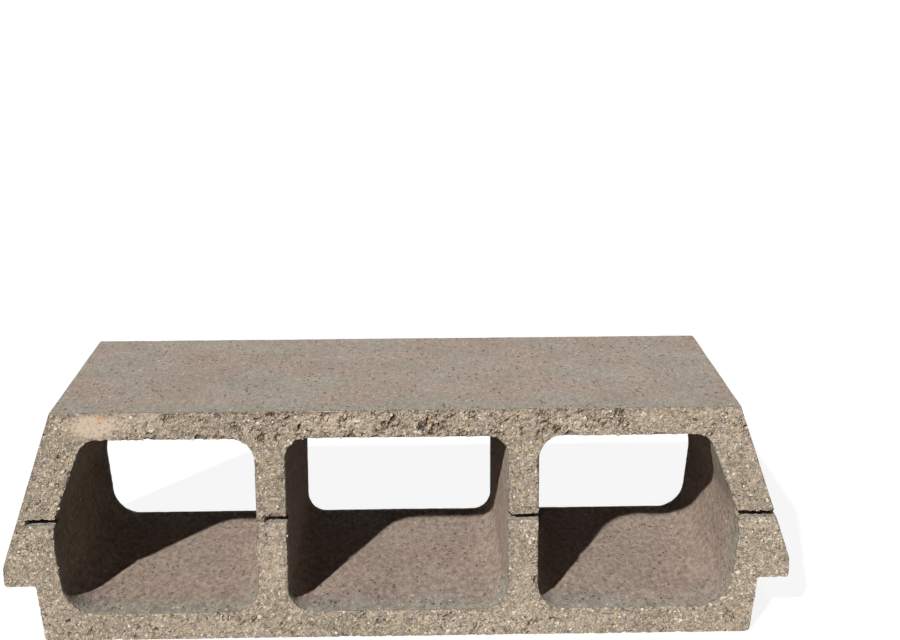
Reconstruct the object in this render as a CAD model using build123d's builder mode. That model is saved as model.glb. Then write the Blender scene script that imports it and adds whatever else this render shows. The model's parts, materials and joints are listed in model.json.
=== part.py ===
"""Hollow concrete infill block for a beam-and-block floor, pressed in one piece.

Millimetres, +Z up. The block lies as it is laid: X runs along its length, from one
joist to the next, and Y along its three open cells. The origin is at the centre of
the flat soffit. The face at -Y was uppermost in the mould, and there the bar that
held the cores has left a slot across each side wall and each web.
"""

import os

from build123d import *

# Overall block
LENGTH = 530.0
DEPTH = 200.0
HEIGHT = 160.0

# Outline of the section, from the soffit up
SOFFIT_LENGTH = 479.0
SHOULDER_LENGTH = 488.0
LEDGE_HEIGHT = 39.0
LUG_FACE = 14.0
TOP_LENGTH = 457.0

# Walls around the cells, measured on the front face
TOP_SLAB = 19.5
BOTTOM_SLAB = 19.0
WEB = 21.0
CENTRE_CELL = 147.5
KNEE_HEIGHT = 80.0
SIDE_WALL_TOP = 28.0
SIDE_WALL_KNEE = 25.5
SIDE_WALL_BOTTOM = 18.0

# Rounding
LUG_ROUND = 2.5
SOFFIT_ROUND = 3.0
CENTRE_TOP_ROUND = 14.0
WEB_TOP_ROUND = 16.0
WEB_BOTTOM_ROUND = 17.0
SIDE_TOP_ROUND = 13.0
SIDE_BOTTOM_ROUND = 24.0
KNEE_ROUND = 50.0

# The cores narrow towards the back, so that they could be drawn out at the front
CORE_DRAFT = 0.75

# Slot of the core bar, and the smooth band that the bar has pressed just below it
SLOT_HEIGHT = 84.0
SLOT_WIDTH = 3.5
SLOT_DEPTH = 12.0
LEFT_WALL_SKIN = 7.0
LEFT_WEB_SKIN = 6.0
BAND_WIDTH = 7.0
BAND_DEPTH = 0.8

# How far each mark's cut runs on into the open air beside its wall
OVERRUN = 5.0

# Places that follow from the sizes
half_length = LENGTH / 2
half_soffit = SOFFIT_LENGTH / 2
half_shoulder = SHOULDER_LENGTH / 2
half_top = TOP_LENGTH / 2
lug_top = LEDGE_HEIGHT + LUG_FACE
cell_floor = BOTTOM_SLAB
cell_roof = HEIGHT - TOP_SLAB
half_centre = CENTRE_CELL / 2
outer_start = half_centre + WEB
slot_foot = SLOT_HEIGHT - SLOT_WIDTH / 2

front_plane = Plane.XZ.offset(DEPTH / 2)


def flank_at(z):
    """Half length of the block at height z, on the sloping flank above the lug."""
    return half_top + (half_length - half_top) * (HEIGHT - z) / (HEIGHT - lug_top)


def haunch_at(z):
    """Half length of the block at height z, on the tapered side below the lug."""
    return half_soffit + (half_shoulder - half_soffit) * z / LEDGE_HEIGHT


def corner(sketch, x, z):
    """The corner of a sketch nearest to the place x, z."""
    return sketch.vertices().sort_by_distance((x, z, 0))[0]


outer_roof_end = flank_at(cell_roof) - SIDE_WALL_TOP
outer_knee = flank_at(KNEE_HEIGHT) - SIDE_WALL_KNEE
outer_floor_end = haunch_at(cell_floor) - SIDE_WALL_BOTTOM

with BuildPart() as block:
    # Solid outline, from the soffit over the lugs to the top
    with BuildSketch(front_plane) as outline:
        with BuildLine():
            Polyline(
                (0, 0),
                (half_soffit, 0),
                (half_shoulder, LEDGE_HEIGHT),
                (half_length, LEDGE_HEIGHT),
                (half_length, lug_top),
                (half_top, HEIGHT),
                (0, HEIGHT),
            )
            mirror(about=Plane.YZ)
        make_face()
        for side in (-1, 1):
            fillet(corner(outline, side * half_soffit, 0), SOFFIT_ROUND)
            fillet(corner(outline, side * half_length, LEDGE_HEIGHT), LUG_ROUND)
            fillet(corner(outline, side * half_length, lug_top), LUG_ROUND)
    extrude(amount=-DEPTH)

    # Centre cell
    with BuildSketch(front_plane) as centre_cell:
        with BuildLine():
            Polyline(
                (-half_centre, cell_floor),
                (half_centre, cell_floor),
                (half_centre, cell_roof),
                (-half_centre, cell_roof),
                close=True,
            )
        make_face()
        for side in (-1, 1):
            fillet(corner(centre_cell, side * half_centre, cell_roof), CENTRE_TOP_ROUND)
            fillet(corner(centre_cell, side * half_centre, cell_floor), WEB_BOTTOM_ROUND)
    extrude(amount=-DEPTH, taper=CORE_DRAFT, mode=Mode.SUBTRACT)

    # Outer cells, each with a knee in its side wall
    for side in (-1, 1):
        with BuildSketch(front_plane) as outer_cell:
            with BuildLine():
                Polyline(
                    (side * outer_start, cell_floor),
                    (side * outer_floor_end, cell_floor),
                    (side * outer_knee, KNEE_HEIGHT),
                    (side * outer_roof_end, cell_roof),
                    (side * outer_start, cell_roof),
                    close=True,
                )
            make_face()
            fillet(corner(outer_cell, side * outer_knee, KNEE_HEIGHT), KNEE_ROUND)
            fillet(corner(outer_cell, side * outer_roof_end, cell_roof), SIDE_TOP_ROUND)
            fillet(corner(outer_cell, side * outer_floor_end, cell_floor), SIDE_BOTTOM_ROUND)
            fillet(corner(outer_cell, side * outer_start, cell_roof), WEB_TOP_ROUND)
            fillet(corner(outer_cell, side * outer_start, cell_floor), WEB_BOTTOM_ROUND)
        extrude(amount=-DEPTH, taper=CORE_DRAFT, mode=Mode.SUBTRACT)

    # Core bar marks: slots, closed again on one side of the left wall and the left web
    flank = flank_at(SLOT_HEIGHT)
    slots = [
        (-flank + LEFT_WALL_SKIN, -outer_knee + OVERRUN),
        (-outer_start + LEFT_WEB_SKIN, -half_centre + OVERRUN),
        (half_centre - OVERRUN, outer_start + OVERRUN),
        (outer_knee - OVERRUN, flank + OVERRUN),
    ]
    with BuildSketch(front_plane):
        for left, right in slots:
            with Locations(((left + right) / 2, SLOT_HEIGHT)):
                Rectangle(right - left, SLOT_WIDTH)
    extrude(amount=-SLOT_DEPTH, mode=Mode.SUBTRACT)

    # Core bar marks: pressed bands, across the whole of each wall and web
    walls = [(outer_knee, flank), (half_centre, outer_start)]
    with BuildSketch(front_plane):
        for inner, outer in walls:
            for side in (-1, 1):
                with Locations((side * (inner + outer) / 2, slot_foot)):
                    Rectangle(
                        outer - inner + 2 * OVERRUN,
                        BAND_WIDTH,
                        align=(Align.CENTER, Align.MAX),
                    )
    extrude(amount=-BAND_DEPTH, mode=Mode.SUBTRACT)

block.part.label = "infill_block"

os.makedirs("parts", exist_ok=True)
export_step(block.part, "parts/infill_block.step")

print("solids", len(block.part.solids()), "valid", block.part.is_valid)
print("volume in litres", round(block.part.volume / 1e6, 3))
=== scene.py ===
import json
import math

import bmesh
import bpy
import numpy as np
from mathutils import Matrix, Vector, noise
from mathutils.bvhtree import BVHTree

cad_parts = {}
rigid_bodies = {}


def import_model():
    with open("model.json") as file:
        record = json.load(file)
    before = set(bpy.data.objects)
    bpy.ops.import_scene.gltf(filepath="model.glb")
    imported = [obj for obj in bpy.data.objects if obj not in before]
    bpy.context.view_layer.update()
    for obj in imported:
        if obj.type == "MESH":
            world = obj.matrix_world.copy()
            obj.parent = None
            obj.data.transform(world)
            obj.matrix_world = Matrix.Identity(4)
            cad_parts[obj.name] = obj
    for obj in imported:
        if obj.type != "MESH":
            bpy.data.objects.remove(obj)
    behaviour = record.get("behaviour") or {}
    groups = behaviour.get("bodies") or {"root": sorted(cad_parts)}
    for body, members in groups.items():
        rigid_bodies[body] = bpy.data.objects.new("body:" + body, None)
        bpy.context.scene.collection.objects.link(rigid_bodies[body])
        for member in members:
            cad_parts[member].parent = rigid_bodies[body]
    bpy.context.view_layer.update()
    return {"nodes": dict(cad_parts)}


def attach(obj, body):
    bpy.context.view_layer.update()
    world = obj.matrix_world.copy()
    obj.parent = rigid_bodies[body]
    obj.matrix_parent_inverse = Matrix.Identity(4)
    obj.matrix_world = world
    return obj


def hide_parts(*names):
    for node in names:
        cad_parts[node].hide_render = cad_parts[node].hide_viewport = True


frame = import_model()

# Everything is shaped in millimetres and scaled to metres when a piece is finished
MM = 0.001
rng = np.random.default_rng(530)

# The laid block, as on its drawing
FRONT = -100.0
HALF_LENGTH = 265.0
TOP = 160.0
CELL_FLOOR = 19.0
CELL_ROOF = 141.0
SLOT_FOOT = 82.25
SLOT_HEAD = 85.75

# How finely the concrete is shaped, and the triangles that are left
VOXEL = 0.8
CHIP_VOXEL = 0.6 * VOXEL
THINNED = 190_000
THIN_PRESSED_FIRST = 0.01

# The front face's mean surface, a little below the mould's edge, and where its relief has ended
SKIN = FRONT + 0.5
PAST_RELIEF = FRONT + 3.5

# Crumbs along the front arris: spacing, least and most size
CELL_CRUMBS = (3.0, 0.8, 1.7)
OUTER_CRUMBS = (7.0, 0.5, 0.9)

# Pits in the front face: places tried, and the share that opens up in each zone
PIT_TRIES = 2400
TORN_PITS, TOP_PITS, FOOT_PITS, LEG_PITS = 0.7, 0.42, 0.28, 0.09

# Small cracks with no place of their own, how many of them lean, and chips to a millimetre of slot lip
LOOSE_CRACKS = 84
LEANING_CRACKS = 60
LIP_CHIPS = 2.2

# Shapes that chips and stones are picked from, and the places tried for stones
LUMP_KINDS = 12
GRIT_TRIES = 7500
GRIT_REACH = 2.0

# The lime-rich corner that came out smooth: middle x and z
LIME_X, LIME_Z = -200, 151

# Slots that the core bar left: left and right end
SLOTS = ((-244, -225), (-91, -73), (74, 95), (226, 252))

# Cracks in the front face: width, depth, and the line that each one follows
CRACKS = (
    (1.5, 3.0, ((-1, 159.5), (-2, 155), (-4.5, 151), (-5, 148), (-7.5, 145))),
    (1.2, 2.4, ((-13.5, 155.5), (-8.5, 151.3), (-5, 151.5))),
    (1.3, 2.6, ((21.4, 155.8), (20.5, 150), (20, 145.5))),
    (1.4, 2.8, ((34.6, 154), (31.9, 150.5), (29.2, 144))),
    (1.1, 2.2, ((155, 150.6), (159, 152.6), (163, 153.6))),
    (1.1, 2.0, ((121.2, 156.7), (125, 158.2), (128.4, 158.3))),
    (1.3, 2.2, ((201, 149.5), (205.2, 153))),
    (1.3, 1.8, ((209, 147.2), (216, 146.6), (222, 145.6), (231.5, 145.2))),
    (0.9, 1.0, ((238.5, 49.5), (241.3, 52.6), (248, 54.3), (254.8, 52.9), (258.8, 48))),
    (1.2, 1.6, ((-216.5, 154.3), (-220, 153.8), (-223, 152))),
    (1.1, 1.6, ((-76.8, 152.8), (-75.6, 151.2))),
    (1.3, 2.4, ((-72.2, 153), (-70.4, 154.4))),
    (1.2, 2.2, ((-37, 146), (-35.4, 148))),
    (1.2, 2.2, ((86, 151.6), (88, 153.4))),
    (1.0, 1.6, ((237, 56), (239.5, 58))),
    (0.8, 0.9, ((-91, 76), (-82, 74.6), (-72, 75))),
    (0.9, 1.2, ((228, 80), (238, 78.5), (248, 79.5))),
)

# Chips that broke out of the front arris and face: middle, half sizes, turn
CHIPPED = (
    ((-231.2, -99.6, 76.6), (1.9, 3.4, 2.6), 0.4),
    ((-228.6, -99.6, 79.0), (1.2, 3.0, 1.5), 0.0),
    ((-227.6, -99.6, 73.8), (1.0, 2.4, 1.4), 0.5),
    ((-229.6, -99.4, 111.8), (1.3, 1.8, 1.3), 0.0),
    ((-219.2, -99.6, 120.5), (1.4, 2.4, 2.0), 0.2),
    ((-164.5, -99.0, 141.2), (3.2, 6.0, 1.5), 0.0),
    ((94.6, -99.4, 118.0), (1.1, 3.4, 3.8), 0.0),
    ((94.2, -99.4, 37.6), (1.0, 3.2, 3.2), 0.0),
    ((-70.0, -99.4, 133.0), (1.6, 3.0, 1.8), 0.0),
    ((-69.4, -99.4, 44.0), (1.3, 3.0, 2.2), 0.3),
    ((228.0, -99.4, 84.0), (2.0, 3.5, 1.6), 0.0),
    ((234.0, -99.2, 82.2), (2.6, 3.2, 1.8), 0.2),
    ((252.6, -99.2, 86.4), (1.4, 3.0, 1.7), 0.0),
    ((232.0, -99.0, 146.0), (1.6, 3.0, 1.5), 0.0),
    ((10.6, -99.4, 159.8), (1.5, 2.0, 1.2), 0.2),
    ((-27.6, -99.2, 140.6), (3.4, 3.0, 1.0), 0.0),
)

# Tones of the exposed stones: cement, sandy, buff, pale, orange, dark
TONES = (0.0, 0.2, 0.4, 0.6, 0.8, 1.0)
TONE_SHARES = (0.12, 0.22, 0.22, 0.38, 0.02, 0.04)

# Larger stones in the front face: x, z, radius, tone
LARGER_STONES = (
    (137.0, 157.3, 1.5, 0.4),
    (132.5, 154.2, 1.1, 0.4),
    (-91.0, 159.3, 1.2, 0.8),
    (22.0, 154.6, 1.3, 0.8),
    (-52.0, 156.5, 0.8, 0.8),
    (196.0, 143.6, 1.0, 0.8),
    (-25.0, 152.5, 1.2, 0.6),
    (-100.5, 153.5, 1.4, 0.6),
    (18.0, 10.5, 1.3, 0.6),
    (212.0, 19.5, 1.3, 0.6),
    (205.0, 17.0, 0.9, 0.8),
)


# Node trees

def add(tree, kind, feeds=None, **choices):
    """Adds a node, sets its choices, and feeds its sockets values or other nodes' outputs."""
    made = tree.nodes.new(kind)
    for name, value in choices.items():
        setattr(made, name, value)
    for socket, value in (feeds or {}).items():
        slot = made.inputs[socket]
        if isinstance(value, bpy.types.NodeSocket):
            tree.links.new(value, slot)
        else:
            slot.default_value = value
    return made


def combined(tree, operation, terms):
    """Joins any number of values, two at a time, by one kind of sum."""
    total = terms[0]
    for term in terms[1:]:
        total = add(tree, "ShaderNodeMath", {0: total, 1: term}, operation=operation).outputs[0]
    return total


def sum_of(tree, *terms):
    return combined(tree, "ADD", terms)


def times(tree, *terms):
    return combined(tree, "MULTIPLY", terms)


def largest(tree, *terms):
    return combined(tree, "MAXIMUM", terms)


def ease(tree, value, start, end, low=0.0, high=1.0):
    """Goes smoothly from low to high as value goes from start to end."""
    return add(tree, "ShaderNodeMapRange", {"Value": value, "From Min": start, "From Max": end,
                                            "To Min": low, "To Max": high},
               interpolation_type="SMOOTHSTEP").outputs["Result"]


def cloud(tree, place, size, detail=3.0, rough=0.55):
    """Soft noise from 0 to 1 whose blotches are about size millimetres across."""
    return add(tree, "ShaderNodeTexNoise", {"Vector": place, "Scale": 1.0 / size, "Detail": detail,
                                            "Roughness": rough}).outputs["Fac"]


def cells(tree, place, size):
    """Grain-like cells: distance from the grain's middle in its own sizes, and a random colour."""
    made = add(tree, "ShaderNodeTexVoronoi", {"Vector": place, "Scale": 1.0 / size})
    return made.outputs["Distance"], made.outputs["Color"]


def part_of(tree, colour):
    """The three random numbers in a random colour."""
    made = add(tree, "ShaderNodeSeparateXYZ", {0: colour})
    return made.outputs[0], made.outputs[1], made.outputs[2]


def stretched(tree, place, x, y, z):
    return add(tree, "ShaderNodeVectorMath", {0: place, 1: (x, y, z)}, operation="MULTIPLY").outputs[0]


def crooked(tree, place, size, amount):
    """The place pushed about by noise, so that grains aren't round."""
    push = add(tree, "ShaderNodeTexNoise", {"Vector": place, "Scale": 1.0 / size, "Detail": 2.0})
    centred = add(tree, "ShaderNodeVectorMath", {0: push.outputs["Color"], 1: (0.5, 0.5, 0.5)},
                  operation="SUBTRACT").outputs[0]
    scaled = add(tree, "ShaderNodeVectorMath", {0: centred, "Scale": amount}, operation="SCALE").outputs[0]
    return add(tree, "ShaderNodeVectorMath", {0: place, 1: scaled}, operation="ADD").outputs[0]


# What the mould left, as heights and masks that the shape and the finish share

def front_share(tree, place):
    """How far a point belongs to the relief of the front face: 1 there, 0 from 4 mm behind it."""
    return ease(tree, part_of(tree, place)[1], FRONT + 4.0, FRONT + 0.8)


def broken_finish(tree, place, sunk):
    """1 where the broken, gritty finish of the front face shows: there and inside every chip."""
    ragged = ease(tree, cloud(tree, place, 2.2, 2.0), 0.3, 0.7, -0.8, 0.8)
    depth = sum_of(tree, part_of(tree, place)[1], ragged)
    front = ease(tree, depth, FRONT + 1.9, FRONT + 1.1)
    chipped = ease(tree, sunk, 0.40, 0.65)
    return largest(tree, front, chipped)


def patch(tree, place, middle_x, middle_z, half_width, half_height, strength=1.0):
    """An oval patch on the front face, fading out round its border."""
    x, _, z = part_of(tree, place)
    across = times(tree, sum_of(tree, x, -middle_x), 1.0 / half_width)
    up = times(tree, sum_of(tree, z, -middle_z), 1.0 / half_height)
    far = sum_of(tree, times(tree, across, across), times(tree, up, up))
    return ease(tree, far, 1.3, 0.3, 0.0, strength)


def torn_zone(tree, place):
    """Where the front face tore most: the middle of the top slab; least on the legs and webs."""
    x, _, z = part_of(tree, place)
    top_slab = ease(tree, z, CELL_ROOF - 3, CELL_ROOF + 2)
    middle = times(tree, ease(tree, x, -165, -110), ease(tree, x, 175, 120))
    return sum_of(tree, times(tree, top_slab, sum_of(tree, 0.3, times(tree, middle, 0.7))),
                  ease(tree, z, CELL_FLOOR + 2, CELL_FLOOR - 3, 0.0, 0.35))


def torn_cracks(tree, place):
    """1 in short, thin, wandering cracks that lean to the right."""
    leaning = add(tree, "ShaderNodeVectorRotate",
                  {"Vector": place, "Axis": (0, 1, 0), "Angle": -0.55}).outputs[0]
    drawn = stretched(tree, leaning, 1.0, 1.0, 0.42)
    wander = cloud(tree, drawn, 5.5, 2.5, 0.6)
    ridge = add(tree, "ShaderNodeMath", {0: sum_of(tree, wander, -0.5)}, operation="ABSOLUTE").outputs[0]
    width = ease(tree, cloud(tree, place, 7.0, 1.0), 0.35, 0.65, 0.003, 0.030)
    line = ease(tree, sum_of(tree, ridge, times(tree, width, -1.0)), 0.008, -0.004)
    zone = torn_zone(tree, place)
    here = sum_of(tree, cloud(tree, place, 8.0, 2.0), times(tree, zone, 0.17))
    return times(tree, line, ease(tree, here, 0.63, 0.67))


def open_voids(tree, place):
    """1 in small angular voids between the grains, closest where the face tore."""
    far, colour = cells(tree, crooked(tree, stretched(tree, place, 1.15, 1.0, 0.85), 1.5, 1.3), 2.1)
    chance, size, _ = part_of(tree, colour)
    reach = ease(tree, size, 0.0, 1.0, 0.14, 0.36)
    inside = ease(tree, sum_of(tree, far, times(tree, reach, -1.0)), 0.05, -0.05)
    likely = sum_of(tree, chance, times(tree, torn_zone(tree, place), 0.12))
    return times(tree, inside, ease(tree, likely, 0.945, 0.955))


def trowelled(tree, place):
    """1 where the front face came out smooth: one lime-rich corner and the bands under the slots."""
    return largest(tree, patch(tree, place, LIME_X, LIME_Z, 17, 8),
                   *(patch(tree, place, (left + right) / 2, SLOT_FOOT - 4, (right - left) / 2 + 2, 4)
                     for left, right in SLOTS))


def front_relief(tree, place):
    sway = ease(tree, cloud(tree, place, 24.0), 0.3, 0.7, -0.5, 0.0)
    rough = ease(tree, trowelled(tree, place), 0.0, 1.0, 1.0, 0.15)
    lumpy = ease(tree, cloud(tree, place, 5.5, 2.0), 0.25, 0.75, -0.36, 0.0)
    grain = ease(tree, cloud(tree, place, 1.9, 2.0), 0.3, 0.7, -0.42, 0.0)
    torn = times(tree, largest(tree, torn_cracks(tree, place), open_voids(tree, place)), -1.3)
    return sum_of(tree, sway, times(tree, rough, sum_of(tree, lumpy, grain, torn)), -0.05)


def pressed_relief(tree, place):
    sway = ease(tree, cloud(tree, stretched(tree, place, 1.0, 0.5, 1.0), 30.0), 0.3, 0.7, -0.16, 0.0)
    drag = ease(tree, cloud(tree, stretched(tree, place, 1.0, 0.35, 1.0), 7.0, 2.0), 0.3, 0.7, -0.14, 0.0)
    return sum_of(tree, sway, drag)


def shape_tree(name):
    """An empty tree of geometry nodes, and the mesh that comes into it."""
    tree = bpy.data.node_groups.new(name, "GeometryNodeTree")
    for way in ("INPUT", "OUTPUT"):
        tree.interface.new_socket("Geometry", in_out=way, socket_type="NodeSocketGeometry")
    return tree, add(tree, "NodeGroupInput").outputs[0]


def run_tree(piece, tree, made):
    """Puts a piece's mesh through a tree of geometry nodes whose last output is made."""
    tree.links.new(made, add(tree, "NodeGroupOutput").inputs[0])
    piece.modifiers.new("shaped", "NODES").node_group = tree
    bake(piece)


def relief(piece):
    """Sinks the surface along its normals, never outside the mould."""
    tree, start = shape_tree("relief")
    place = add(tree, "GeometryNodeInputPosition").outputs[0]
    normal = add(tree, "GeometryNodeInputNormal").outputs[0]
    front = front_share(tree, place)
    height = add(tree, "ShaderNodeMix", {0: front, 2: pressed_relief(tree, place),
                                         3: front_relief(tree, place)}).outputs[0]
    height = add(tree, "ShaderNodeMath", {0: height, 1: 0.0}, operation="MINIMUM").outputs[0]
    push = add(tree, "ShaderNodeVectorMath", {0: normal, "Scale": height}, operation="SCALE").outputs[0]
    moved = add(tree, "GeometryNodeSetPosition", {"Geometry": start, "Offset": push})
    run_tree(piece, tree, moved.outputs[0])


def measure_sunk(piece, mould):
    """Keeps, as the attribute sunk, how far every point lies below the mould's face in millimetres."""
    tree, start = shape_tree("sunk")
    faces = add(tree, "GeometryNodeObjectInfo", {"Object": mould})
    near = add(tree, "GeometryNodeProximity", {0: faces.outputs["Geometry"]}, target_element="FACES")
    kept = add(tree, "GeometryNodeStoreNamedAttribute",
               {"Geometry": start, "Name": "sunk", "Value": near.outputs["Distance"]},
               data_type="FLOAT", domain="POINT")
    run_tree(piece, tree, kept.outputs[0])


# Building and joining

def new_piece(name, bm):
    """Makes a scene object from a bmesh, at the origin."""
    mesh = bpy.data.meshes.new(name)
    bm.to_mesh(mesh)
    bm.free()
    piece = bpy.data.objects.new(name, mesh)
    bpy.context.scene.collection.objects.link(piece)
    return piece


def bake(piece):
    """Replaces a piece's mesh with what its modifiers make of it."""
    depsgraph = bpy.context.evaluated_depsgraph_get()
    mesh = bpy.data.meshes.new_from_object(piece.evaluated_get(depsgraph))
    mesh.name = piece.name
    piece.modifiers.clear()
    piece.data = mesh


def put_away(*helpers):
    """Removes helpers that have done their work."""
    for helper in helpers:
        bpy.data.objects.remove(helper)


def lump_shapes(name, unevenness):
    """A few dented balls of radius 1, for chips that broke out and for grains."""
    shapes = bpy.data.collections.new(name)
    for i in range(LUMP_KINDS):
        bm = bmesh.new()
        bmesh.ops.create_icosphere(bm, subdivisions=1, radius=1.0)
        for v in bm.verts:
            v.co *= 1 + unevenness * noise.noise(v.co * 1.3 + Vector((7.0 * i, 0, 0)))
        mesh = bpy.data.meshes.new(name)
        bm.to_mesh(mesh)
        bm.free()
        shapes.objects.link(bpy.data.objects.new(f"{name}_{i}", mesh))
    return shapes


class Lumps:
    """Places for lumps: middle, half sizes along x, y and z, and turn."""

    def __init__(self):
        self.middles, self.sizes, self.turns, self.tones = [], [], [], []

    def put(self, middle, size, turn=None, tone=0.0):
        self.middles.append(tuple(middle))
        self.sizes.append(tuple(size))
        self.turns.append(tuple(rng.uniform(0, math.tau, 3)) if turn is None else tuple(turn))
        self.tones.append(tone)

    def build(self, name, shapes):
        """One joined mesh with a lump at each place."""
        bm = bmesh.new()
        for middle in self.middles:
            bm.verts.new(middle)
        piece = new_piece(name, bm)
        for label, kind, slot, values in (("size", "FLOAT_VECTOR", "vector", self.sizes),
                                          ("turn", "FLOAT_VECTOR", "vector", self.turns),
                                          ("tone", "FLOAT", "value", self.tones)):
            made = piece.data.attributes.new(label, kind, "POINT")
            made.data.foreach_set(slot, np.array(values, np.float32).ravel())
        tree, start = shape_tree("scatter")
        size = add(tree, "GeometryNodeInputNamedAttribute", {"Name": "size"}, data_type="FLOAT_VECTOR")
        turn = add(tree, "GeometryNodeInputNamedAttribute", {"Name": "turn"}, data_type="FLOAT_VECTOR")
        turned = add(tree, "FunctionNodeEulerToRotation", {0: turn.outputs["Attribute"]})
        source = add(tree, "GeometryNodeCollectionInfo", {"Collection": shapes, "Separate Children": True})
        placed = add(tree, "GeometryNodeInstanceOnPoints",
                     {"Points": start, "Instance": source.outputs[0], "Pick Instance": True,
                      "Rotation": turned.outputs[0], "Scale": size.outputs["Attribute"]})
        joined = add(tree, "GeometryNodeRealizeInstances", {"Geometry": placed.outputs[0]})
        run_tree(piece, tree, joined.outputs[0])
        return piece


# The pressed block, and what has crumbled away from it

def pressed_block(name):
    """A closed copy of the CAD block in millimetres."""
    bm = bmesh.new()
    bm.from_mesh(frame["nodes"]["infill_block"].data)
    bmesh.ops.remove_doubles(bm, verts=bm.verts, dist=0.00001)
    bmesh.ops.scale(bm, vec=(1 / MM,) * 3, verts=bm.verts)
    return new_piece(name, bm)


def front_arris(mould):
    """Straight lengths of the sharp edge round the front face: start, end, and whether on a cell."""
    bm = bmesh.new()
    bm.from_mesh(mould.data)
    lengths = []
    for edge in bm.edges:
        if all(v.co.y < FRONT + 0.01 for v in edge.verts):
            sides = [f for f in edge.link_faces if f.normal.y > -0.99]
            if len(sides) == 1:
                start, end = (v.co.copy() for v in edge.verts)
                inward = (start + end) / 2 + 8 * sides[0].normal
                lengths.append((start, end, abs(inward.x) < 225 and 25 < inward.z < 135))
    bm.free()
    return lengths


def crumble_arris(chips, lengths):
    """Breaks crumbs off the front arris: many round the cells, where the cores drew out, few outside."""
    for start, end, on_cell in lengths:
        spacing, least, most = CELL_CRUMBS if on_cell else OUTER_CRUMBS
        for _ in range(rng.poisson((end - start).length / spacing)):
            spot = start.lerp(end, rng.uniform()) + Vector(rng.normal(0, 0.3, 3))
            size = rng.uniform(least, most) * (1 + 0.8 * (rng.uniform() > 0.93))
            chips.put(spot, size * rng.uniform(0.7, 1.5, 3))


def pit_front(chips):
    """Open voids between the grains of the front face, closest together in the top slab."""
    for _ in range(PIT_TRIES):
        x, z = rng.uniform(-HALF_LENGTH, HALF_LENGTH), rng.uniform(2, 158)
        torn = z > CELL_ROOF and -150 < x < 150
        share = (TORN_PITS if torn else TOP_PITS if z > CELL_ROOF
                 else FOOT_PITS if z < CELL_FLOOR else LEG_PITS)
        if rng.uniform() < share:
            size = rng.uniform(0.5, 0.85) * (1.25 if torn and rng.uniform() < 0.3 else 1.0)
            chips.put((x, SKIN, z), size * np.array((rng.uniform(0.7, 1.5), rng.uniform(1.2, 2.2),
                                                    rng.uniform(0.8, 1.7))), (0, rng.uniform(0, 3), 0))


def crack(chips, points, width, depth):
    """A crack in the front face along a line of points, as a chain of overlapping chips."""
    for (x0, z0), (x1, z1) in zip(points, points[1:]):
        steps = max(2, int(math.hypot(x1 - x0, z1 - z0) / (0.5 * width)))
        heading = -math.atan2(z1 - z0, x1 - x0)
        for i in range(steps):
            share = i / steps
            x = x0 + (x1 - x0) * share + rng.normal(0, 0.22 * width)
            z = z0 + (z1 - z0) * share + rng.normal(0, 0.22 * width)
            thick = width * rng.uniform(0.38, 0.58)
            chips.put((x, SKIN, z), (thick * 1.4, depth * rng.uniform(0.8, 1.15), thick),
                      (0, heading + rng.normal(0, 0.5), 0))


def crack_slabs(chips):
    """Cracks where the stiff mix tore under the scraper, most of them leaning in the top slab."""
    for width, depth, points in CRACKS:
        crack(chips, points, width, depth)
    for i in range(LOOSE_CRACKS):
        if i < LEANING_CRACKS:
            x, z = rng.normal(15, 55), rng.uniform(CELL_ROOF + 3, TOP - 3)
        else:
            x = rng.uniform(-225, 225)
            z = rng.choice([rng.uniform(4, 16), rng.uniform(CELL_ROOF + 2, TOP - 2)])
        heading, length = rng.normal(1.0, 0.55), rng.uniform(1.5, 6.0)
        dx, dz = length * math.cos(heading), length * math.sin(heading)
        bend = rng.normal(0, 0.25 * length)
        points = ((x - dx / 2, z - dz / 2), (x + bend, z), (x + dx / 2, z + dz / 2))
        crack(chips, points, rng.uniform(1.0, 1.35), rng.uniform(1.8, 2.8))


def fray_slots(chips):
    """Ragged lips along the slots that the core bar left."""
    for left, right in SLOTS:
        for _ in range(int((right - left) * LIP_CHIPS)):
            x = rng.uniform(left - 2, right)
            z = rng.choice([SLOT_FOOT, SLOT_HEAD]) + rng.normal(0, 0.45)
            size = rng.uniform(0.7, 1.35)
            chips.put((x, FRONT + rng.uniform(0, 2.5), z), size * rng.uniform(0.7, 1.6, 3))


def carve(block, chips):
    """Takes the chips out of the block."""
    for spot, size, turn in CHIPPED:
        chips.put(spot, size, (0, turn, 0))
    shapes = lump_shapes("chip", 0.55)
    lumps = chips.build("chips", shapes)
    joined = lumps.modifiers.new("joined", "REMESH")
    joined.mode = "VOXEL"
    joined.voxel_size = CHIP_VOXEL
    bake(lumps)
    cut = block.modifiers.new("chips", "BOOLEAN")
    cut.operation = "DIFFERENCE"
    cut.solver = "MANIFOLD"
    cut.object = lumps
    bake(block)
    put_away(lumps, *shapes.objects)


def thin_mesh(block):
    """Spends most of the triangles on the front face, where the relief is finest."""
    places = np.empty(len(block.data.vertices) * 3, np.float32)
    block.data.vertices.foreach_get("co", places)
    behind = np.flatnonzero(places[1::3] > PAST_RELIEF)
    pressed = block.vertex_groups.new(name="pressed faces")
    pressed.add(behind.tolist(), 1.0, "REPLACE")
    thin = block.modifiers.new("thin", "DECIMATE")
    thin.ratio = min(1.0, THINNED / (2 * len(block.data.polygons)))
    thin.vertex_group = "pressed faces"
    thin.vertex_group_factor = THIN_PRESSED_FIRST
    bake(block)
    block.vertex_groups.clear()


def keep_in_mould(piece):
    """Presses back anything that stands past the mould's sides."""
    places = np.empty(len(piece.data.vertices) * 3, np.float32)
    piece.data.vertices.foreach_get("co", places)
    places = places.reshape(-1, 3)
    np.clip(places, (-HALF_LENGTH, FRONT, 0.0), (HALF_LENGTH, -FRONT, TOP), out=places)
    piece.data.vertices.foreach_set("co", places.ravel())
    piece.data.update()


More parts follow.
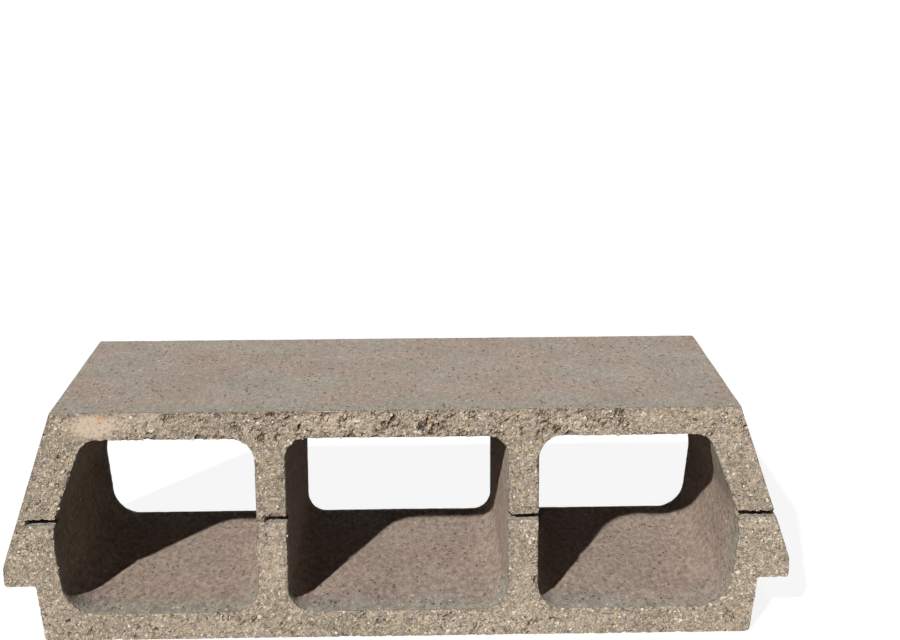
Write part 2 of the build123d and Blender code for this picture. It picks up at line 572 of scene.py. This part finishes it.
def make_block():
    block, mould = pressed_block("concrete_block"), pressed_block("mould")
    chips = Lumps()
    crumble_arris(chips, front_arris(mould))
    pit_front(chips)
    crack_slabs(chips)
    fray_slots(chips)
    carve(block, chips)
    even = block.modifiers.new("even mesh", "REMESH")
    even.mode = "VOXEL"
    even.voxel_size = VOXEL
    bake(block)
    relief(block)
    thin_mesh(block)
    keep_in_mould(block)
    measure_sunk(block, mould)
    put_away(mould)
    return block


# Stones and sand that stand out of the front face

def surface_finder(block):
    """Gives the front surface's depth at a place on the front face, or None over a hollow."""
    block.data.calc_loop_triangles()
    places = [v.co.copy() for v in block.data.vertices]
    finder = BVHTree.FromPolygons(places, [tuple(t.vertices) for t in block.data.loop_triangles])

    def find(x, z):
        hit = finder.ray_cast(Vector((x, FRONT - 1, z)), Vector((0, 1, 0)), 3.0)[0]
        return None if hit is None else hit.y

    return find


def exposed_grit(block):
    """Small angular stones set in the front face, most of them pale."""
    find, stones = surface_finder(block), Lumps()
    for _ in range(GRIT_TRIES):
        x, z = rng.uniform(-HALF_LENGTH, HALF_LENGTH), rng.uniform(1, 159)
        y = find(x, z)
        if y is None or (abs(x - LIME_X) < 17 and abs(z - LIME_Z) < 8):
            continue
        size = min(1.6, 0.50 * math.exp(rng.normal(0, 0.42)))
        size_y = size * rng.uniform(0.5, 0.8)
        tone = rng.choice(TONES, p=TONE_SHARES)
        middle = max(y + size_y * rng.uniform(0.0, 0.6), FRONT + size_y * 1.3)
        reach = GRIT_REACH * size
        if not (reach < z < TOP - reach and abs(x) < HALF_LENGTH - reach):
            continue
        stones.put((x, middle, z),
                   (size * rng.uniform(0.7, 1.7), size_y, size * rng.uniform(0.7, 1.7)),
                   (rng.uniform(-0.3, 0.3), rng.uniform(0, 3), rng.uniform(-0.3, 0.3)), tone)
    for x, z, size, tone in LARGER_STONES:
        y = find(x, z) or FRONT + 1
        stones.put((x, max(y + size * 0.25, FRONT + size * 0.75), z), (size, size * 0.55, size * 1.2),
                   (0, rng.uniform(0, 3), 0), tone)
    shapes = lump_shapes("stone", 0.45)
    piece = stones.build("exposed_grit", shapes)
    keep_in_mould(piece)
    put_away(*shapes.objects)
    return piece


# Colours and finishes

def tint(tree, share, first, second):
    """Mixes two colours."""
    made = add(tree, "ShaderNodeMix", {0: share, 6: first, 7: second}, data_type="RGBA")
    return made.outputs[2]


def shade(tree, colour, amount):
    """Makes a colour darker or lighter: amount 1 leaves it as it is."""
    made = add(tree, "ShaderNodeVectorMath", {0: colour, "Scale": amount}, operation="SCALE")
    return made.outputs[0]


CEMENT = (0.520, 0.420, 0.308, 1)
GREY_CEMENT = (0.485, 0.405, 0.325, 1)
PALE_GRIT = (0.92, 0.83, 0.69, 1)
BUFF_GRIT = (0.74, 0.58, 0.38, 1)
SANDY_GRIT = (0.58, 0.48, 0.36, 1)
ORANGE_GRIT = (0.80, 0.42, 0.20, 1)
DARK_GRIT = (0.17, 0.135, 0.10, 1)
# Painted shade: the near-black laid into the pits, chips, cracks, voids and pores in place of the shade
# inside them
PAINTED_PIT_SHADE = (0.125, 0.085, 0.052, 1)
LIME_BLOOM = (0.74, 0.60, 0.46, 1)
RUST_TINGE = (0.78, 0.52, 0.32, 1)
PRESSED_BROWN = (0.400, 0.318, 0.258, 1)
PRESSED_GREY = (0.385, 0.335, 0.280, 1)
GREEN_GREY = (0.355, 0.332, 0.280, 1)
CELL_BROWN = (0.390, 0.298, 0.238, 1)

# Lime bloom on the front face: middle x and z, half width and half height, strength
LIME_PATCHES = (
    (-202, 151, 24, 10, 0.9),
    (-172, 154, 24, 8, 0.9),
    (-42, 152, 26, 9, 0.9),
    (118, 151, 9, 10, 0.9),
    (30, 153, 30, 7, 0.15),
    (166, 152, 9, 9, 0.45),
    (230, 154, 14, 7, 0.5),
    (-84, 55, 8, 26, 0.55),
    (84, 30, 9, 24, 0.3),
    (-130, 10, 40, 6, 0.2),
    (110, 9, 60, 7, 0.25),
    (240, 118, 9, 22, 0.35),
)


def lime_bloom(tree, place):
    """How much lime bloom whitens the front face, in cloudy patches with one solid middle."""
    total = largest(tree, *(patch(tree, place, *one) for one in LIME_PATCHES))
    wisps = ease(tree, cloud(tree, place, 4.0, 4.0, 0.7), 0.42, 0.56)
    solid = patch(tree, crooked(tree, crooked(tree, place, 5.0, 9.0), 1.6, 2.4),
                  LIME_X, LIME_Z, 16, 8)
    return largest(tree, times(tree, total, wisps), solid)


def broken_colour(tree, place, sunk, torn):
    """Cement with sand showing, with painted shade in the pits and chips, darker the deeper they lie below
    the mould's face, and painted shade in the cracks and voids.
    """
    colour = tint(tree, ease(tree, cloud(tree, place, 5.0, 3.0), 0.4, 0.6), CEMENT, GREY_CEMENT)
    colour = shade(tree, colour, ease(tree, cloud(tree, place, 40.0, 3.0), 0.3, 0.7, 0.94, 1.06))
    colour = shade(tree, colour, ease(tree, cloud(tree, place, 3.4, 3.0), 0.3, 0.7, 0.80, 1.18))
    far, grain = cells(tree, crooked(tree, place, 1.3, 0.8), 1.45)
    tone, pick, other = part_of(tree, grain)
    colour = shade(tree, colour, ease(tree, tone, 0.0, 1.0, 0.76, 1.22))
    sand = cloud(tree, place, 0.75, 1.5)
    colour = shade(tree, colour, ease(tree, sand, 0.3, 0.7, 0.68, 1.32))
    bloom = lime_bloom(tree, place)
    rusty = patch(tree, crooked(tree, place, 5.0, 4.0), -194, 156, 3.5, 3.5)
    tinged = tint(tree, rusty, LIME_BLOOM, RUST_TINGE)
    colour = tint(tree, bloom, colour, shade(tree, tinged, ease(tree, sand, 0.3, 0.7, 0.88, 1.12)))
    many = ease(tree, cloud(tree, place, 12.0), 0.35, 0.65, 0.94, 0.85)
    pale = ease(tree, sum_of(tree, pick, times(tree, many, -1.0)), 0.0, 0.01)
    pale = times(tree, pale, ease(tree, far, 0.62, 0.45), 0.75)
    colour = tint(tree, pale, colour, tint(tree, other, BUFF_GRIT, PALE_GRIT))
    dark = times(tree, ease(tree, pick, 0.075, 0.065), ease(tree, far, 0.62, 0.45), 0.65)
    colour = tint(tree, dark, colour, DARK_GRIT)
    # Painted shade: pits and chips darken the deeper they lie below the mould's face
    colour = tint(tree, ease(tree, sunk, 1.6, 2.8, 0.0, 0.85), colour, PAINTED_PIT_SHADE)
    # Painted shade: the cracks and voids are painted nearly black
    return tint(tree, times(tree, torn, 0.88), colour, PAINTED_PIT_SHADE)


def pressed_colour(tree, place, pits, specks):
    """Fine cement skin with painted shade in its pores; faintly streaked blotches, partly its own tone and
    partly painted shade of its relief, strongest inside the cells; greener where damp stood near the front.
    """
    colour = tint(tree, ease(tree, cloud(tree, place, 55.0), 0.35, 0.65), PRESSED_BROWN, PRESSED_GREY)
    _, y, z = part_of(tree, place)
    ragged = sum_of(tree, y, ease(tree, cloud(tree, place, 18.0, 3.0), 0.3, 0.7, -14.0, 14.0))
    in_cell = ease(tree, z, 152.0, 146.0)
    colour = tint(tree, times(tree, in_cell, 0.8), colour, CELL_BROWN)
    colour = tint(tree, ease(tree, ragged, -62.0, -96.0, 0.0, 0.7), colour, GREEN_GREY)
    colour = shade(tree, colour, ease(tree, cloud(tree, place, 30.0, 5.0, 0.6), 0.25, 0.75, 0.92, 1.07))
    # Blotches that are partly the skin's own tone and partly painted shade of its relief, made stronger
    # inside the cells
    blotch_and_relief_shade = ease(tree, cloud(tree, stretched(tree, place, 1.0, 0.5, 1.0), 3.4, 3.0), 0.3, 0.7, -0.16, 0.14)
    blotch_and_relief_shade = times(tree, blotch_and_relief_shade, ease(tree, in_cell, 0.0, 1.0, 0.8, 1.5))
    colour = shade(tree, colour, sum_of(tree, 1.0, blotch_and_relief_shade))
    colour = shade(tree, colour, ease(tree, cloud(tree, place, 1.1, 2.0), 0.3, 0.7, 0.72, 1.28))
    colour = tint(tree, times(tree, specks, 0.55), colour, PALE_GRIT)
    # Painted shade in the pores
    return tint(tree, times(tree, pits, 0.8), colour, PAINTED_PIT_SHADE)


def pressed_pits(tree, place):
    """Small open pores in the pressed faces, drawn out a little along the demoulding direction."""
    drawn = crooked(tree, stretched(tree, place, 1.0, 0.55, 1.0), 1.1, 1.3)
    far, colour = cells(tree, drawn, 2.7)
    chance, size, speck = part_of(tree, colour)
    reach = ease(tree, size, 0.0, 1.0, 0.10, 0.34)
    inside = ease(tree, sum_of(tree, far, times(tree, reach, -1.0)), 0.06, -0.06)
    return (times(tree, inside, ease(tree, chance, 0.66, 0.70)),
            times(tree, inside, ease(tree, speck, 0.90, 0.94)))


def dull_shader(name):
    """A new material whose shader has the dry, rough surface of concrete."""
    material = bpy.data.materials.new(name)
    material.use_nodes = True
    shader = material.node_tree.nodes["Principled BSDF"]
    shader.inputs["Roughness"].default_value = 0.95
    shader.inputs["Diffuse Roughness"].default_value = 0.3
    shader.inputs["Specular IOR Level"].default_value = 0.12
    return material, material.node_tree, shader


def in_millimetres(tree):
    return stretched(tree, add(tree, "ShaderNodeTexCoord").outputs["Object"], 1000.0, 1000.0, 1000.0)


def concrete_finish():
    material, tree, shader = dull_shader("concrete")
    place = in_millimetres(tree)
    sunk = add(tree, "ShaderNodeAttribute", attribute_name="sunk").outputs["Fac"]
    broken = broken_finish(tree, place, sunk)
    pits, specks = pressed_pits(tree, place)
    calm = ease(tree, trowelled(tree, place), 0.0, 1.0, 1.0, 0.35)
    # The cracks and voids, which broken_colour fills with painted shade
    torn = times(tree, calm, largest(tree, torn_cracks(tree, place), open_voids(tree, place)))
    colour = tint(tree, broken, pressed_colour(tree, place, pits, specks),
                  broken_colour(tree, place, sunk, torn))
    tree.links.new(colour, shader.inputs["Base Color"])
    broken_height = times(tree, calm, sum_of(tree, times(tree, cloud(tree, place, 0.9, 2.5), 1.3),
                                             times(tree, cloud(tree, place, 2.4, 2.0), 1.2)))
    drag = cloud(tree, stretched(tree, place, 1.0, 0.35, 1.0), 3.0, 3.0)
    pressed_height = sum_of(tree, times(tree, pits, -0.55), times(tree, cloud(tree, place, 1.2, 2.0), 0.55),
                            times(tree, drag, 0.6))
    height = add(tree, "ShaderNodeMix", {0: broken, 2: pressed_height, 3: broken_height}).outputs[0]
    bump = add(tree, "ShaderNodeBump", {"Height": height, "Distance": MM, "Strength": 1.0})
    tree.links.new(bump.outputs[0], shader.inputs["Normal"])
    return material


def grit_finish():
    """Stone and sand of mixed colours, one colour to a grain."""
    material, tree, shader = dull_shader("exposed grit")
    tone = add(tree, "ShaderNodeAttribute", attribute_name="tone").outputs["Fac"]
    ramp = add(tree, "ShaderNodeValToRGB", {0: tone})
    ramp.color_ramp.interpolation = "CONSTANT"
    colours = (CEMENT, SANDY_GRIT, BUFF_GRIT, PALE_GRIT, ORANGE_GRIT, DARK_GRIT)
    for i, (start, colour) in enumerate(zip((0.0, 0.1, 0.3, 0.5, 0.7, 0.9), colours)):
        stop = ramp.color_ramp.elements[i] if i < 2 else ramp.color_ramp.elements.new(start)
        stop.position, stop.color = start, colour
    place = in_millimetres(tree)
    uneven = ease(tree, cloud(tree, place, 0.7, 2.0), 0.3, 0.7, 0.82, 1.12)
    tree.links.new(shade(tree, ramp.outputs[0], uneven), shader.inputs["Base Color"])
    bump = add(tree, "ShaderNodeBump",
               {"Height": cloud(tree, place, 0.5, 2.0), "Distance": MM, "Strength": 0.4})
    tree.links.new(bump.outputs[0], shader.inputs["Normal"])
    return material


def finish_piece(piece, material, sharp_from):
    """Scales a piece to metres and gives it its finish, with edges sharper than an angle kept sharp."""
    piece.data.transform(Matrix.Scale(MM, 4))
    piece.data.polygons.foreach_set("use_smooth", [True] * len(piece.data.polygons))
    piece.data.set_sharp_from_angle(angle=math.radians(sharp_from))
    piece.data.materials.clear()
    piece.data.materials.append(material)
    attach(piece, "root")


block = make_block()
grit = exposed_grit(block)
finish_piece(block, concrete_finish(), 42)
finish_piece(grit, grit_finish(), 25)
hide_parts("infill_block")


# Camera, light and floor

CAMERA_PLACE = (0.008996, -1.198487, 0.476589)
CAMERA_TURN = (76.8869, 0.2376, -1.4384)
CAMERA_LENS = 69.316
SUN_TRAVEL = (73.7, 180.0, -120.0)
SUN_STRENGTH = 3.5
SUN_WIDTH = 1.2
FLOOR_GLOW = 0.89
FLOOR_SEEN = (0.20, 0.20, 0.20, 1)
FLOOR_BOUNCE = (0.05, 0.047, 0.044, 1)

# Plain lamps square to the top, the back and the right side: travel, strength, width in degrees
SIDE_LAMPS = (((0, 0, -1), 0.45, 6), ((0, -1, 0), 1.3, 8), ((-1, 0, 0), 1.1, 8))

camera = bpy.data.objects.new("camera", bpy.data.cameras.new("camera"))
camera.location = CAMERA_PLACE
camera.rotation_euler = [math.radians(a) for a in CAMERA_TURN]
camera.data.sensor_width = 36.0
camera.data.lens = CAMERA_LENS
bpy.context.scene.collection.objects.link(camera)
bpy.context.scene.camera = camera


def far_lamp(name, travel, strength, width):
    lamp = bpy.data.objects.new(name, bpy.data.lights.new(name, "SUN"))
    lamp.data.energy = strength
    lamp.data.angle = math.radians(width)
    lamp.rotation_mode = "QUATERNION"
    lamp.rotation_quaternion = Vector(travel).to_track_quat("-Z", "Y")
    bpy.context.scene.collection.objects.link(lamp)


far_lamp("sun", SUN_TRAVEL, SUN_STRENGTH, SUN_WIDTH)
for i, (travel, strength, width) in enumerate(SIDE_LAMPS):
    far_lamp(f"side_lamp_{i}", travel, strength, width)


def seen_directly(tree):
    """1 for the camera, and for what glass or metal would show; 0 for light on the object."""
    path = add(tree, "ShaderNodeLightPath")
    return largest(tree, path.outputs["Is Camera Ray"], path.outputs["Is Glossy Ray"],
                   path.outputs["Is Transmission Ray"])


world = bpy.data.worlds.new("world")
bpy.context.scene.world = world
world.use_nodes = True
world.node_tree.nodes.clear()
white = add(world.node_tree, "ShaderNodeBackground",
            {"Color": (1, 1, 1, 1), "Strength": seen_directly(world.node_tree)})
add(world.node_tree, "ShaderNodeOutputWorld", {0: white.outputs[0]})

bm = bmesh.new()
bmesh.ops.create_grid(bm, x_segments=1, y_segments=1, size=20.0)
floor = new_piece("floor", bm)
pale = bpy.data.materials.new("pale floor")
pale.use_nodes = True
pale.node_tree.nodes.clear()
glow = add(pale.node_tree, "ShaderNodeEmission", {"Strength": FLOOR_GLOW})
shadow_catch = add(pale.node_tree, "ShaderNodeBsdfDiffuse", {"Color": FLOOR_SEEN})
seen = add(pale.node_tree, "ShaderNodeAddShader", {0: glow.outputs[0], 1: shadow_catch.outputs[0]})
bounce = add(pale.node_tree, "ShaderNodeBsdfDiffuse", {"Color": FLOOR_BOUNCE})
mixed = add(pale.node_tree, "ShaderNodeMixShader",
            {0: seen_directly(pale.node_tree), 1: bounce.outputs[0], 2: seen.outputs[0]})
add(pale.node_tree, "ShaderNodeOutputMaterial", {0: mixed.outputs[0]})
floor.data.materials.append(pale)

bpy.context.scene.view_settings.view_transform = "Standard"
